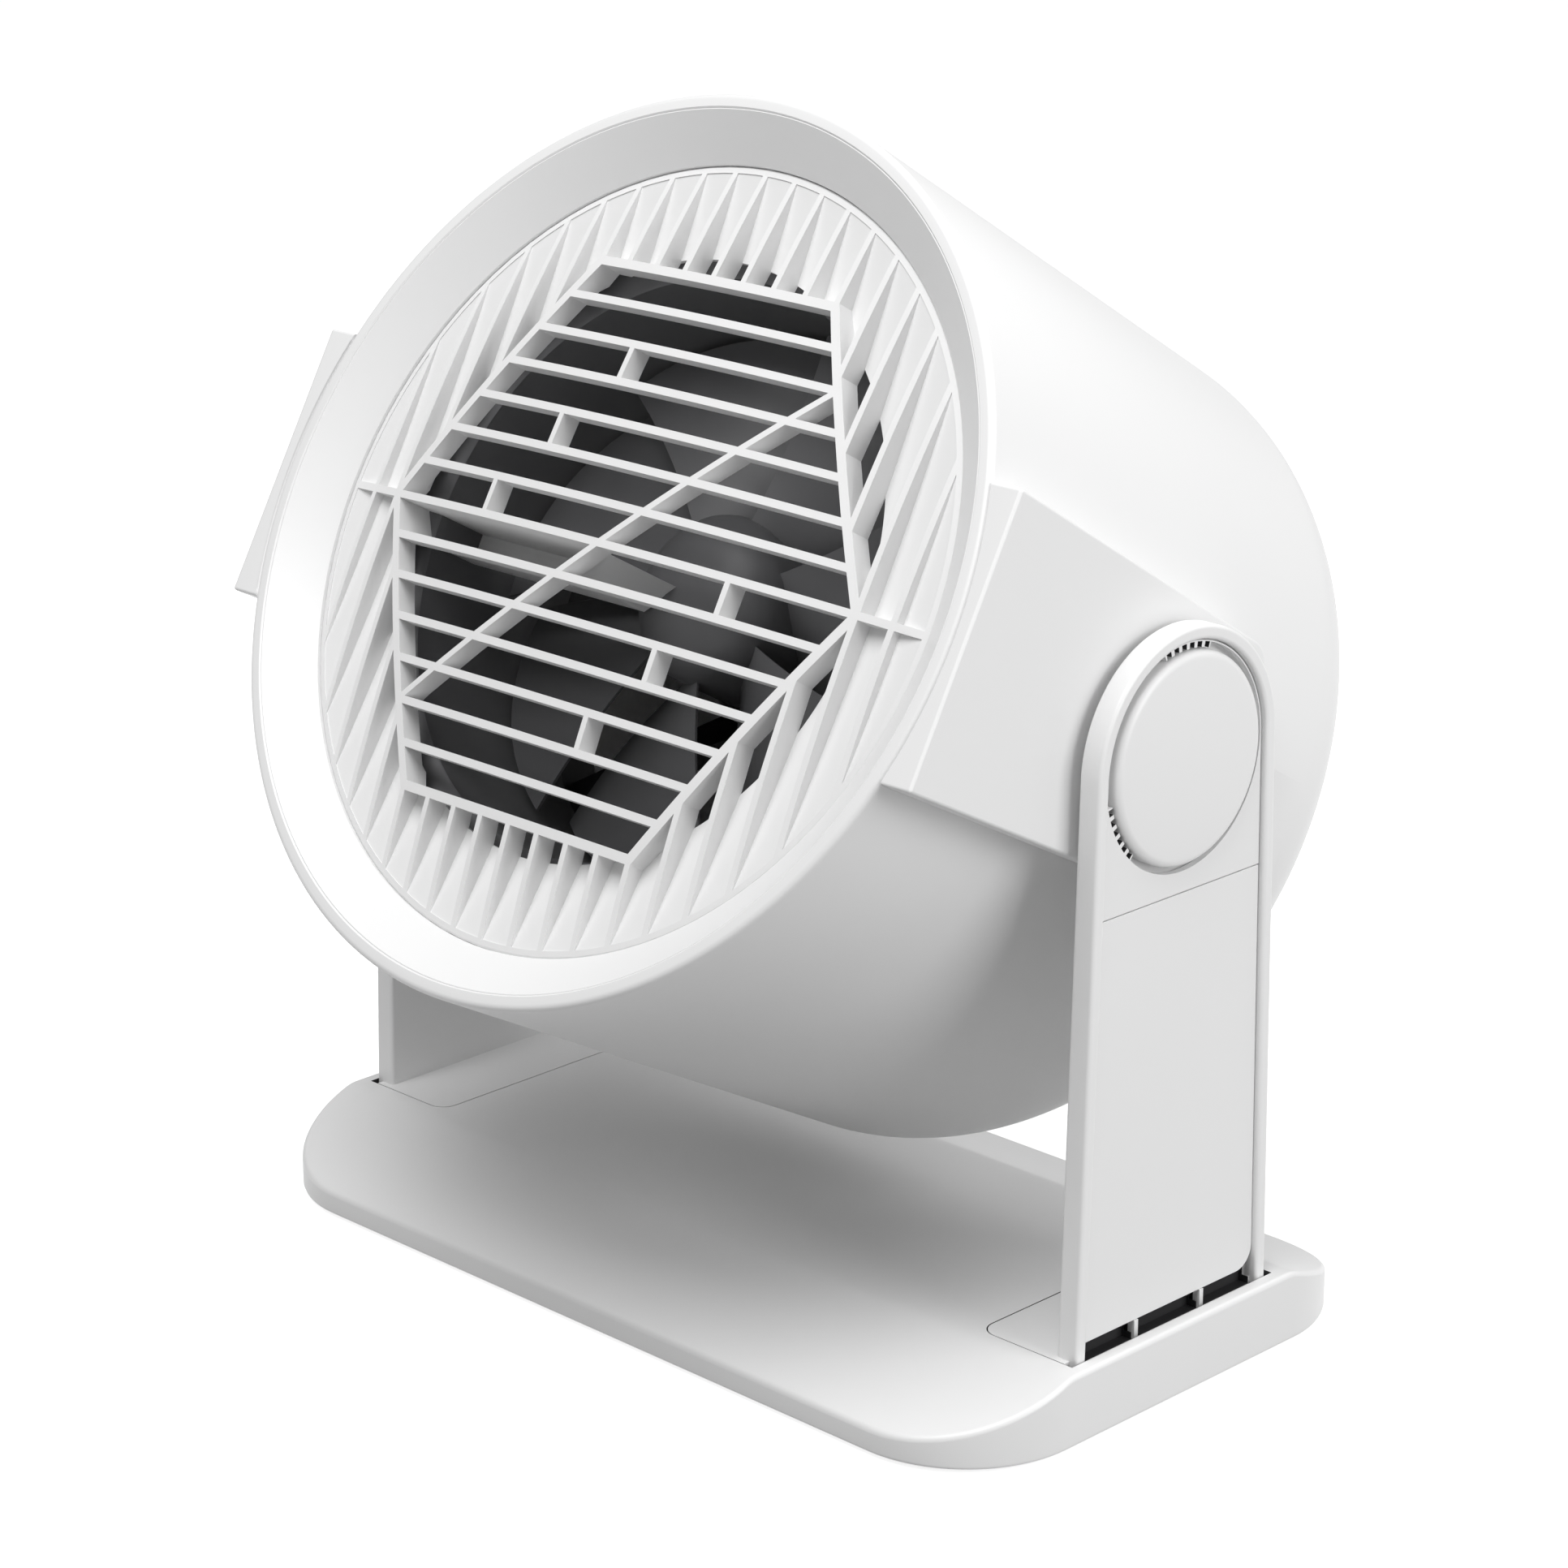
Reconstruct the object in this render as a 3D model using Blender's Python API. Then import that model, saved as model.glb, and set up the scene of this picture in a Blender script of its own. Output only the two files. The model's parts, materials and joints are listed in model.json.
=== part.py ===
# Desk fan: a drum-shaped head that tilts between two arms on a low base.
# Sizes are in millimetres and become metres when the meshes are made.
# World axes: +X to the right, the front faces -Y, +Z up, origin under the middle of the base.
# Head axes: origin on the tilt pivot, -Y along the airflow, +Z up across the head.
import math

import bpy
from mathutils import Matrix, Vector

# Base
BASE_HALF_LENGTH = 114.6
BASE_HALF_DEPTH = 66.9
BASE_CORNER = 29.0
BASE_UNDERSIDE = 0.8
PLATEAU_TOP = 17.0
PLATEAU_HALF_DEPTH = 36.5
FRONT_WALL_TOP = 6.5

# Arms
ARM_INNER = 105.4
ARM_OUTER = 111.0
ARM_WEB = 1.6
ARM_RIM = 3.1
ARM_TOP_RADIUS = 27.9
ARM_WIDENING = 0.025
COVER_OUTER = 109.6
COVER_THICKNESS = 1.5
SEAM_HEIGHT = 112.0
LOWER_COVER_BOTTOM = 20.0
COVER_CORNER = 5.0
FOOT_INNER = 85.5
FOOT_HALF_DEPTH = 32.5
FOOT_DEPTH = 2.0
RIB_SPACING = 10.7
FOOT_SCREW_X = 95.0
FOOT_SCREW_Y = 24.0

# Head
PIVOT_HEIGHT = 140.9
REST_TILT = 29.65
AXIS_RISE = 1.8
FRONT = 69.4
HEAD_LENGTH = 150.0
RIM_RADIUS = 100.0
RIM_INNER = 96.65
REAR_RADIUS = 97.0
REAR_FILLET = 20.0
WALL = 2.5
REAR_OPENING = 70.0
CONE_INNER = 87.0
CONE_DEPTH = 8.0
POD_SIDE = 103.15
POD_HALF_FRONT = 31.3
POD_HALF_REAR = 28.0
POD_REAR = -24.0

# Grille
UNIT = 8.68
GRILLE_RADIUS = 86.7
VANE_END = 85.3
DOME_DROP = 5.6
SLAT = 1.7
VANE = 1.4
HEX_FRAME = 2.1
DUCT_RADIUS = 64.5
FLOOR_INNER = 66.5
FLOOR_DROP = 5.3
FLOOR_THICKNESS = 1.2
BAR_DEPTH = 5.0
# rows with a short upright, and how far it stands from the middle, in vane spacings
UPRIGHTS = {2: -1.5, 4: -2.9, 6: -4.3, 7: 4.3, 9: 2.9, 11: 1.5}

# Pivot
CAP_RADIUS = 22.7
CAP_HOLE = 24.2
STUB_RADIUS = 8.0
TOOTH_HEIGHT = 0.9
TOOTH_RUNS = (90, 210)

# Fan, button and inlet
HUB_RADIUS = 19.0
BLADE_TIP = 62.0
BLADES = 7
BUTTON_RADIUS = 8.0
INLET_Z = 3.4

GAP = 0.3
MM = 0.001
REAR = FRONT - HEAD_LENGTH
ARM_LOW = PLATEAU_TOP - FOOT_DEPTH

for item in list(bpy.data.objects):
    bpy.data.objects.remove(item)

WORLD = Matrix.Identity(4)
HEAD = Matrix.Translation((0, 0, PIVOT_HEIGHT * MM)) @ Matrix.Rotation(-math.radians(REST_TILT), 4, "X")

SLOTS = {
    "shell_white": ((0.86, 0.86, 0.86), 0.0, 0.42),
    "grille_white": ((0.88, 0.88, 0.88), 0.0, 0.4),
    "fan_grey": ((0.05, 0.052, 0.056), 0.0, 0.45),
    "inner_dark": ((0.03, 0.03, 0.032), 0.0, 0.6),
    "steel": ((0.55, 0.55, 0.56), 1.0, 0.35),
    "rubber_grey": ((0.08, 0.08, 0.08), 0.0, 0.85),
    "board_green": ((0.03, 0.16, 0.08), 0.0, 0.5),
}
MATERIALS = {}
for slot, (color, metallic, roughness) in SLOTS.items():
    material = bpy.data.materials.new(slot)
    material.use_nodes = True
    shader = material.node_tree.nodes["Principled BSDF"]
    shader.inputs["Base Color"].default_value = (*color, 1.0)
    shader.inputs["Metallic"].default_value = metallic
    shader.inputs["Roughness"].default_value = roughness
    material.diffuse_color = (*color, 1.0)
    MATERIALS[slot] = material


def build(name, verts, faces, slot, frame=WORLD, origin=(0, 0, 0), smooth=False):
    """One object from millimetre points; origin is in the same axes as the points."""
    mesh = bpy.data.meshes.new(name)
    start = Vector(origin)
    mesh.from_pydata([(Vector(v) - start) * MM for v in verts], [], faces)
    mesh.validate()
    mesh.materials.append(MATERIALS[slot])
    obj = bpy.data.objects.new(name, mesh)
    bpy.context.scene.collection.objects.link(obj)
    obj.matrix_world = frame @ Matrix.Translation(start * MM)
    if smooth:
        for polygon in mesh.polygons:
            polygon.use_smooth = True
        mesh.set_sharp_from_angle(angle=math.radians(35))
    return obj


def cutter(name, verts, faces, frame=WORLD):
    obj = build(name, verts, faces, "shell_white", frame)
    obj.hide_render = True
    obj.display_type = "WIRE"
    return obj


def boolean(obj, other, operation="DIFFERENCE"):
    modifier = obj.modifiers.new(operation.lower(), "BOOLEAN")
    modifier.operation = operation
    modifier.solver = "EXACT"
    modifier.object = other
    return modifier


def lathe(profile, segments, axis="Y", centre=(0, 0, 0)):
    """Closed ring or disc. Profile points are (radius, distance along), in order round the section."""
    rings = []
    verts = []
    for radius, along in profile:
        ring = []
        count = 1 if radius < 1e-6 else segments
        for k in range(count):
            turn = 2 * math.pi * k / segments
            a = radius * math.cos(turn)
            b = radius * math.sin(turn)
            point = (a, along, b) if axis == "Y" else (along, a, b) if axis == "X" else (a, b, along)
            ring.append(len(verts))
            verts.append(tuple(p + c for p, c in zip(point, centre)))
        rings.append(ring)
    faces = []
    for i, ring in enumerate(rings):
        other = rings[(i + 1) % len(rings)]
        if len(ring) == 1 and len(other) == 1:
            continue
        for k in range(segments):
            m = (k + 1) % segments
            if len(ring) == 1:
                faces.append((ring[0], other[m], other[k]))
            elif len(other) == 1:
                faces.append((ring[k], ring[m], other[0]))
            else:
                faces.append((ring[k], ring[m], other[m], other[k]))
    return face_out(verts, faces)


def face_out(verts, faces):
    """Turns every face over when the solid comes out inside out."""
    volume = 0.0
    for face in faces:
        for k in range(1, len(face) - 1):
            a, b, c = (Vector(verts[face[i]]) for i in (0, k, k + 1))
            volume += a.dot(b.cross(c))
    if volume < 0:
        faces = [tuple(reversed(face)) for face in faces]
    return verts, faces


def prism(outline, low, high, axis="Z"):
    """Straight solid with the given outline. The outline's pairs are the two other axes, in XYZ order."""
    verts = []
    for level in (low, high):
        for a, b in outline:
            verts.append((a, b, level) if axis == "Z" else (a, level, b) if axis == "Y" else (level, a, b))
    n = len(outline)
    faces = [tuple(range(n)), tuple(reversed(range(n, 2 * n)))]
    for k in range(n):
        m = (k + 1) % n
        faces.append((m, k, k + n, m + n))
    return face_out(verts, faces)


def box(x0, x1, y0, y1, z0, z1):
    return prism([(x0, y0), (x1, y0), (x1, y1), (x0, y1)], z0, z1)


def joined(*solids):
    """Separate closed solids as one list of points and faces."""
    verts = []
    faces = []
    for more_verts, more_faces in solids:
        start = len(verts)
        verts += more_verts
        faces += [tuple(i + start for i in face) for face in more_faces]
    return verts, faces


def arc(cx, cy, radius, start, end, steps):
    points = []
    for k in range(steps + 1):
        turn = math.radians(start + (end - start) * k / steps)
        points.append((cx + radius * math.cos(turn), cy + radius * math.sin(turn)))
    return points


def rounded_rectangle(x0, x1, y0, y1, radius, steps=5):
    return (
        arc(x1 - radius, y1 - radius, radius, 0, 90, steps)
        + arc(x0 + radius, y1 - radius, radius, 90, 180, steps)
        + arc(x0 + radius, y0 + radius, radius, 180, 270, steps)
        + arc(x1 - radius, y0 + radius, radius, 270, 360, steps)
    )


def mirrored(solid):
    verts, faces = solid
    return face_out([(-x, y, z) for x, y, z in verts], faces)


# ---- Base ----


def base_body(half_length, half_depth, corner, bottom, plateau, edge):
    """Rounded rectangle whose top falls from the plateau to a low front and rear edge."""
    rows = []
    for k in range(9):
        rows.append(half_depth - corner + corner * math.sin(math.radians(90 * k / 8)))
    rows += [PLATEAU_HALF_DEPTH + 0.6, PLATEAU_HALF_DEPTH - 1.6, 0.0]
    rows = sorted(set(round(r, 4) for r in rows))
    rows = [-r for r in reversed(rows) if r > 0] + rows
    verts = []
    for y in rows:
        over = max(0.0, abs(y) - (half_depth - corner))
        reach = half_length - corner + math.sqrt(max(corner * corner - over * over, 0.0))
        fall = max(0.0, (abs(y) - PLATEAU_HALF_DEPTH) / (half_depth - PLATEAU_HALF_DEPTH))
        top = plateau - (plateau - edge) * fall
        verts += [(-reach, y, bottom), (reach, y, bottom), (reach, y, top), (-reach, y, top)]
    faces = [(0, 1, 2, 3)]
    for k in range(len(rows) - 1):
        a = 4 * k
        for i in range(4):
            j = (i + 1) % 4
            faces.append((a + j, a + i, a + 4 + i, a + 4 + j))
    end = 4 * (len(rows) - 1)
    faces.append((end + 3, end + 2, end + 1, end))
    return face_out(verts, faces)


base_shell = build(
    "base_shell",
    *base_body(BASE_HALF_LENGTH, BASE_HALF_DEPTH, BASE_CORNER, BASE_UNDERSIDE, PLATEAU_TOP, FRONT_WALL_TOP),
    "shell_white",
    smooth=True,
)
bevel = base_shell.modifiers.new("edge", "BEVEL")
bevel.width = 1.0 * MM
bevel.segments = 2
bevel.limit_method = "ANGLE"
bevel.angle_limit = math.radians(50)
base_inner = base_body(BASE_HALF_LENGTH - WALL, BASE_HALF_DEPTH - WALL, BASE_CORNER - WALL, -3.0, 12.0, 4.2)
boolean(base_shell, cutter("cut_base_inside", *base_inner))
pocket_half = FOOT_HALF_DEPTH + GAP
pocket_outline = [(ARM_OUTER + GAP, -pocket_half), (ARM_OUTER + GAP, pocket_half)]
pocket_outline += arc(FOOT_INNER - GAP + 4.3, pocket_half - 4.3, 4.3, 90, 180, 3)
pocket_outline += arc(FOOT_INNER - GAP + 4.3, 4.3 - pocket_half, 4.3, 180, 270, 3)
foot_pocket = prism(
    pocket_outline,
    ARM_LOW - GAP,
    PLATEAU_TOP + 20.0,
)
foot_screw_holes = []
for x in (-FOOT_SCREW_X, FOOT_SCREW_X):
    for y in (-FOOT_SCREW_Y, FOOT_SCREW_Y):
        foot_screw_holes.append(lathe([(0, 5), (2.0, 5), (2.0, 30), (0, 30)], 12, "Z", (x, y, 0)))
boolean(base_shell, cutter("cut_foot_pockets", *joined(foot_pocket, mirrored(foot_pocket))))
boolean(base_shell, cutter("cut_foot_screws", *joined(*foot_screw_holes)))
boolean(base_shell, cutter("cut_inlet", *box(-5.0, 5.0, 50.0, 80.0, INLET_Z - 1.9, INLET_Z + 0.6)))

plate_outline = rounded_rectangle(
    -BASE_HALF_LENGTH + WALL + GAP,
    BASE_HALF_LENGTH - WALL - GAP,
    -BASE_HALF_DEPTH + WALL + GAP,
    BASE_HALF_DEPTH - WALL - GAP,
    BASE_CORNER - WALL - GAP,
    6,
)
base_bottom = build("base_bottom", *prism(plate_outline, BASE_UNDERSIDE, BASE_UNDERSIDE + 1.6), "inner_dark")
cover_screws = [(sx * 98.0, sy * 42.0) for sx in (-1, 1) for sy in (-1, 1)]
screw_seats = [lathe([(0, -2), (1.9, -2), (1.9, 6), (0, 6)], 16, "Z", (x, y, 0)) for x, y in cover_screws]
boolean(base_bottom, cutter("cut_bottom_screws", *joined(*screw_seats)))
boolean(base_bottom, cutter("cut_bottom_inlet", *box(-6.0, 6.0, 52.0, 80.0, -2.0, 8.0)))
for k, (x, y) in enumerate(cover_screws):
    screw = lathe([(0, 1.0), (1.6, 1.0), (1.6, 8.0), (0, 8.0)], 16, "Z", (x, y, 0))
    build(f"bottom_screw_{k + 1}", *screw, "steel", origin=(x, y, 0), smooth=True)
pad = prism(rounded_rectangle(-80, 80, -36, 36, 8, 4), 0.0, BASE_UNDERSIDE - 0.05)
build("base_pad", *pad, "rubber_grey")
build("base_weight", *box(-62, 44, -30, 30, 3.0, 11.4), "steel")
build("control_board", *box(50, 80, -22, 22, 5.0, 6.6), "board_green")
inlet = build("power_inlet", *box(-4.5, 4.5, 57.0, 66.6, INLET_Z - 1.6, INLET_Z + 0.4), "steel")
boolean(inlet, cutter("cut_inlet_mouth", *box(-4.0, 4.0, 58.5, 80.0, INLET_Z - 1.2, INLET_Z)))

# ---- Arms ----


def arm_outline(inset, low):
    """Side view of an arm as (y, z) pairs: straight flanks that meet a round top."""
    radius = ARM_TOP_RADIUS - inset
    top = arc(0, PIVOT_HEIGHT, radius, 0, 180, 20)
    low_width = radius + ARM_WIDENING * (PIVOT_HEIGHT - low)
    return [(low_width, low)] + top + [(-low_width, low)]


def lower_cover_outline():
    """The lower cover's side view: like the arm's, with its low rear corner rounded."""
    radius = ARM_TOP_RADIUS - ARM_RIM - GAP
    low_width = radius + ARM_WIDENING * (PIVOT_HEIGHT - LOWER_COVER_BOTTOM)
    seam = SEAM_HEIGHT - GAP / 2
    seam_width = radius + ARM_WIDENING * (PIVOT_HEIGHT - seam)
    centre = (low_width - COVER_CORNER, LOWER_COVER_BOTTOM + COVER_CORNER)
    corner = arc(*centre, COVER_CORNER, -90, 0, 4)
    return corner + [(seam_width, seam), (-seam_width, seam), (-low_width, LOWER_COVER_BOTTOM)]


def disc(radius, x0, x1, segments=32):
    """Solid disc about the tilt axis."""
    return lathe([(0, x0), (radius, x0), (radius, x1), (0, x1)], segments, "X", (0, 0, PIVOT_HEIGHT))


def toothed_hole(x0, x1):
    """Round hole with three short runs of fine teeth."""
    outline = []
    for k in range(120):
        degrees = 3.0 * k
        near = min(abs((degrees - middle + 180) % 360 - 180) for middle in TOOTH_RUNS)
        inward = near < 17.0 and k % 2 == 0
        radius = CAP_HOLE - TOOTH_HEIGHT if inward else CAP_HOLE
        turn = math.radians(degrees)
        outline.append((radius * math.cos(turn), PIVOT_HEIGHT + radius * math.sin(turn)))
    return prism(outline, x0, x1, "X")


for side, name in ((1, "right"), (-1, "left")):
    turn = (lambda solid: solid) if side > 0 else mirrored
    blank = turn(prism(arm_outline(0, ARM_LOW), ARM_INNER, ARM_OUTER, "X"))
    arm = build(f"arm_{name}", *blank, "shell_white", smooth=True)
    hollow = prism(arm_outline(ARM_RIM, ARM_LOW - 5), ARM_INNER + ARM_WEB, ARM_OUTER + 5, "X")
    boolean(arm, cutter(f"cut_{name}_hollow", *turn(hollow)))
    foot_outline = rounded_rectangle(FOOT_INNER, 109.0, -FOOT_HALF_DEPTH, FOOT_HALF_DEPTH, 4.0, 3)
    foot = prism(foot_outline, ARM_LOW, PLATEAU_TOP)
    ribs = []
    rib_slots = []
    for y in (-RIB_SPACING, RIB_SPACING):
        ribs.append(box(ARM_INNER + 0.5, 108.0, y - 0.6, y + 0.6, ARM_LOW + 0.5, 24.0))
        rib_slots.append(box(100, 108.3, y - 0.9, y + 0.9, 10, 24.3))
    boolean(arm, cutter(f"join_{name}_foot", *turn(foot)), "UNION")
    boolean(arm, cutter(f"join_{name}_ribs", *turn(joined(*ribs))), "UNION")
    boolean(arm, cutter(f"cut_{name}_bore", *turn(disc(STUB_RADIUS + GAP, ARM_INNER - 5, ARM_OUTER + 5, 24))))
    screw_holes = []
    for y in (-FOOT_SCREW_Y, FOOT_SCREW_Y):
        screw_holes.append(lathe([(0, 5), (1.6, 5), (1.6, 16.2), (0, 16.2)], 12, "Z", (FOOT_SCREW_X, y, 0)))
    boolean(arm, cutter(f"cut_{name}_foot_screws", *turn(joined(*screw_holes))))

    cover_in = COVER_OUTER - COVER_THICKNESS
    lower = prism(lower_cover_outline(), cover_in, COVER_OUTER, "X")
    lower_cover = build(f"arm_{name}_lower_cover", *turn(lower), "shell_white")
    boolean(lower_cover, cutter(f"cut_{name}_lower_ribs", *turn(joined(*rib_slots))))
    upper = prism(arm_outline(ARM_RIM + GAP, SEAM_HEIGHT + GAP / 2), cover_in, COVER_OUTER, "X")
    upper_cover = build(f"arm_{name}_upper_cover", *turn(upper), "shell_white", smooth=True)
    boolean(upper_cover, cutter(f"cut_{name}_cap_hole", *turn(toothed_hole(cover_in - 5, COVER_OUTER + 5))))

    for k, y in enumerate((-FOOT_SCREW_Y, FOOT_SCREW_Y)):
        foot_screw = lathe([(0, 12.5), (1.3, 12.5), (1.3, 15.9), (0, 15.9)], 12, "Z", (FOOT_SCREW_X, y, 0))
        origin = (side * FOOT_SCREW_X, y, 0)
        build(f"foot_screw_{name}_{k + 1}", *turn(foot_screw), "steel", origin=origin, smooth=True)

# ---- Tilt pivots: they turn with the head ----

for side, name in ((1, "right"), (-1, "left")):

    def pivot_piece(label, profile, slot, segments=40):
        points = [(r, side * x) for r, x in profile]
        piece = lathe(points, segments, "X")
        return build(label, *piece, slot, HEAD, origin=(side * 105.0, 0, 0), smooth=True)

    pivot_piece(f"pivot_cap_{name}", [
        (0, 111.9), (20.2, 111.4), (22.0, 110.8), (CAP_RADIUS, 109.9),
        (CAP_RADIUS, 107.3), (21.1, 107.3), (21.1, 109.2), (0, 109.9),
    ], "shell_white", 40)
    pivot_piece(f"pivot_nut_{name}", [
        (4.3, 107.3), (11.5, 107.3), (11.5, 108.8), (4.3, 108.8),
    ], "steel", 16)
    pivot_piece(f"pivot_stub_{name}", [
        (0, 88.0), (15.0, 88.0), (15.0, 90.0), (STUB_RADIUS, 90.0),
        (STUB_RADIUS, 106.9), (4.0, 106.9), (4.0, 108.6), (0, 108.6),
    ], "steel", 20)
    pivot_piece(f"pivot_washer_{name}", [
        (STUB_RADIUS + 0.4, 103.45), (16.0, 103.45), (16.0, 105.1), (STUB_RADIUS + 0.4, 105.1),
    ], "rubber_grey", 20)

# ---- Head shell ----


def spin(profile, segments=56):
    """Profile points are (radius, distance in front of the pivot)."""
    return lathe([(r, -s) for r, s in profile], segments, "Y", (0, 0, AXIS_RISE))


fillet = [
    (REAR_RADIUS - REAR_FILLET + REAR_FILLET * math.cos(math.radians(a)),
     REAR + REAR_FILLET - REAR_FILLET * math.sin(math.radians(a)))
    for a in (0, 30, 60, 90)
]
inner_fillet = [
    (REAR_RADIUS - REAR_FILLET + (REAR_FILLET - WALL) * math.cos(math.radians(a)),
     REAR + REAR_FILLET - (REAR_FILLET - WALL) * math.sin(math.radians(a)))
    for a in (90, 45, 0)
]
shell_profile = (
    [(RIM_INNER, FRONT), (RIM_RADIUS - 1.2, FRONT), (RIM_RADIUS - 0.3, FRONT - 0.5)]
    + [(RIM_RADIUS, FRONT - 1.4)]
    + fillet
    + [(REAR_OPENING, REAR), (REAR_OPENING, REAR + WALL)]
    + inner_fillet
    + [(RIM_INNER, 50.0)]
)
drum = build("drum_shell", *spin(shell_profile), "shell_white", HEAD, smooth=True)
stub_bore = lathe([(0, 80), (STUB_RADIUS + GAP, 80), (STUB_RADIUS + GAP, 120), (0, 120)], 24, "X")
boolean(drum, cutter("cut_drum_bores", *joined(stub_bore, mirrored(stub_bore)), HEAD))

pod_outline = [
    (-FRONT + 0.2, POD_HALF_FRONT + AXIS_RISE),
    (-FRONT + 0.2, -POD_HALF_FRONT + AXIS_RISE),
    (-POD_REAR - 6, -POD_HALF_REAR + AXIS_RISE),
    (-POD_REAR, -POD_HALF_REAR + 6 + AXIS_RISE),
    (-POD_REAR, POD_HALF_REAR - 6 + AXIS_RISE),
    (-POD_REAR - 6, POD_HALF_REAR + AXIS_RISE),
]
drum_clear = spin([
    (0, FRONT + 5), (RIM_RADIUS + GAP, FRONT + 5), (RIM_RADIUS + GAP, FRONT - 1.4),
    (REAR_RADIUS + GAP, REAR + REAR_FILLET), (REAR_RADIUS + GAP, REAR - 5), (0, REAR - 5),
])
for side, name in ((1, "right"), (-1, "left")):
    turn = (lambda solid: solid) if side > 0 else mirrored
    pod = build(f"side_pod_{name}", *turn(prism(pod_outline, 90.0, POD_SIDE, "X")), "shell_white", HEAD)
    boolean(pod, cutter(f"cut_pod_{name}_drum", *drum_clear, HEAD))
    boolean(pod, cutter(f"cut_pod_{name}_bore", *turn(stub_bore), HEAD))

build("front_cone", *spin([
    (RIM_INNER - GAP, FRONT - 0.2), (CONE_INNER, FRONT - CONE_DEPTH), (CONE_INNER, 58.9),
    (89.0, 58.9), (94.1, 63.6), (94.1, 58.9), (RIM_INNER - GAP, 58.9),
]), "shell_white", HEAD, smooth=True)

# ---- Grille ----


def dome(radius):
    """How far in front of the pivot the grille's face lies at this distance from the axis."""
    return FRONT - DOME_DROP * (radius / (8 * UNIT)) ** 2


def clip(polygon, a, b, c):
    """The part of a convex polygon where a*x + b*z <= c."""
    kept = []
    for k, (x, z) in enumerate(polygon):
        nx, nz = polygon[(k + 1) % len(polygon)]
        here = a * x + b * z - c
        there = a * nx + b * nz - c
        if here <= 0:
            kept.append((x, z))
        if here * there < 0:
            t = here / (here - there)
            kept.append((x + t * (nx - x), z + t * (nz - z)))
    return kept


HEX_RADIUS = 8 * UNIT
APOTHEM = HEX_RADIUS * math.sqrt(3) / 2
PITCH = APOTHEM / 7
SQUARE = [(-200, -200), (200, -200), (200, 200), (-200, 200)]
HEX_SIDES = [(math.cos(math.radians(a)), math.sin(math.radians(a))) for a in (30, 90, 150, 210, 270, 330)]


def cell_area(polygon):
    total = 0.0
    for k, (x, z) in enumerate(polygon):
        nx, nz = polygon[(k + 1) % len(polygon)]
        total += x * nz - nx * z
    return abs(total) / 2


def window_cells():
    """Openings inside the hexagon: between slats, split by the diagonal and the short uprights."""
    cells = []
    slope = 5 * PITCH
    run = HEX_RADIUS * (1 - 5 / 14)
    length = math.hypot(slope, run)
    for row in range(14):
        top = (7 - row) * PITCH - SLAT / 2
        low = (6 - row) * PITCH + SLAT / 2
        strip = clip(clip(SQUARE, 0, 1, top), 0, -1, -low)
        for a, b in HEX_SIDES:
            strip = clip(strip, a, b, APOTHEM - HEX_FRAME / 2)
        middle = (6.5 - row) * PITCH
        halves = [strip]
        if abs(middle) < slope:
            halves = [
                clip(strip, -slope / length, run / length, -VANE / 2),
                clip(strip, slope / length, -run / length, -VANE / 2),
            ]
        for half in halves:
            on_left = sum(x for x, _ in half) / len(half) < run / slope * middle
            upright = None
            if row in UPRIGHTS and (UPRIGHTS[row] < 0) == on_left:
                upright = UPRIGHTS[row] * UNIT
            if upright is None:
                cells.append(half)
            else:
                cells.append(clip(half, 1, 0, upright - VANE / 2))
                cells.append(clip(half, -1, 0, -upright - VANE / 2))
    return cells


def vane_cells():
    """Openings between the hexagon and the outer ring."""
    circle = arc(0, 0, VANE_END, 0, 350, 35)
    cells = []
    for side_a, side_b in HEX_SIDES:
        for k in range(-10, 10):
            column = clip(clip(circle, -1, 0, -k * UNIT - VANE / 2), 1, 0, (k + 1) * UNIT - VANE / 2)
            if not column:
                continue
            if abs(side_b) == 1:
                cell = clip(column, 0, -side_b, -APOTHEM - HEX_FRAME / 2)
                cell = clip(clip(cell, 1, 0, HEX_RADIUS / 2), -1, 0, HEX_RADIUS / 2)
            else:
                sign = math.copysign(1, side_b)
                out = math.copysign(1, side_a)
                cell = clip(column, -side_a, -side_b, -APOTHEM - HEX_FRAME / 2)
                cell = clip(cell, 0, -sign, -SLAT / 2)
                cell = clip(cell, -out, 0, -HEX_RADIUS / 2)
            cells.append(cell)
    return cells


grille_profile = [(0, dome(0)), (48, dome(48)), (GRILLE_RADIUS, dome(GRILLE_RADIUS))]
grille_profile += [(GRILLE_RADIUS, 59.2), (GRILLE_RADIUS - 2.0, 58.9), (FLOOR_INNER + 4.0, 58.0)]
grille_profile += [(57.0, dome(57.0) - BAR_DEPTH), (0, dome(0) - BAR_DEPTH)]
grille = build("front_grille", *spin(grille_profile, 24), "grille_white", HEAD)
vane_gaps = []
for cell in vane_cells():
    if len(cell) > 2 and cell_area(cell) > 1.0:
        vane_gaps.append(prism([(x, z + AXIS_RISE) for x, z in cell], -80.0, -40.0, "Y"))
boolean(grille, cutter("cut_vane_gaps", *joined(*vane_gaps), HEAD))
# the floor between the vanes: flush at the outer ring, open at the middle of each hexagon side
floor_back = dome(FLOOR_INNER) - FLOOR_DROP
vane_floor = spin([
    (GRILLE_RADIUS - 0.6, dome(GRILLE_RADIUS) - 0.25), (FLOOR_INNER, floor_back),
    (FLOOR_INNER, floor_back - FLOOR_THICKNESS), (GRILLE_RADIUS - 0.6, dome(GRILLE_RADIUS) - 1.45),
], 60)
boolean(grille, cutter("join_vane_floor", *vane_floor, HEAD), "UNION")
windows = []
for cell in window_cells():
    if len(cell) > 2 and cell_area(cell) > 1.0:
        windows.append(prism([(x, z + AXIS_RISE) for x, z in cell], -80.0, -40.0, "Y"))
boolean(grille, cutter("cut_windows", *joined(*windows), HEAD))

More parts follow.
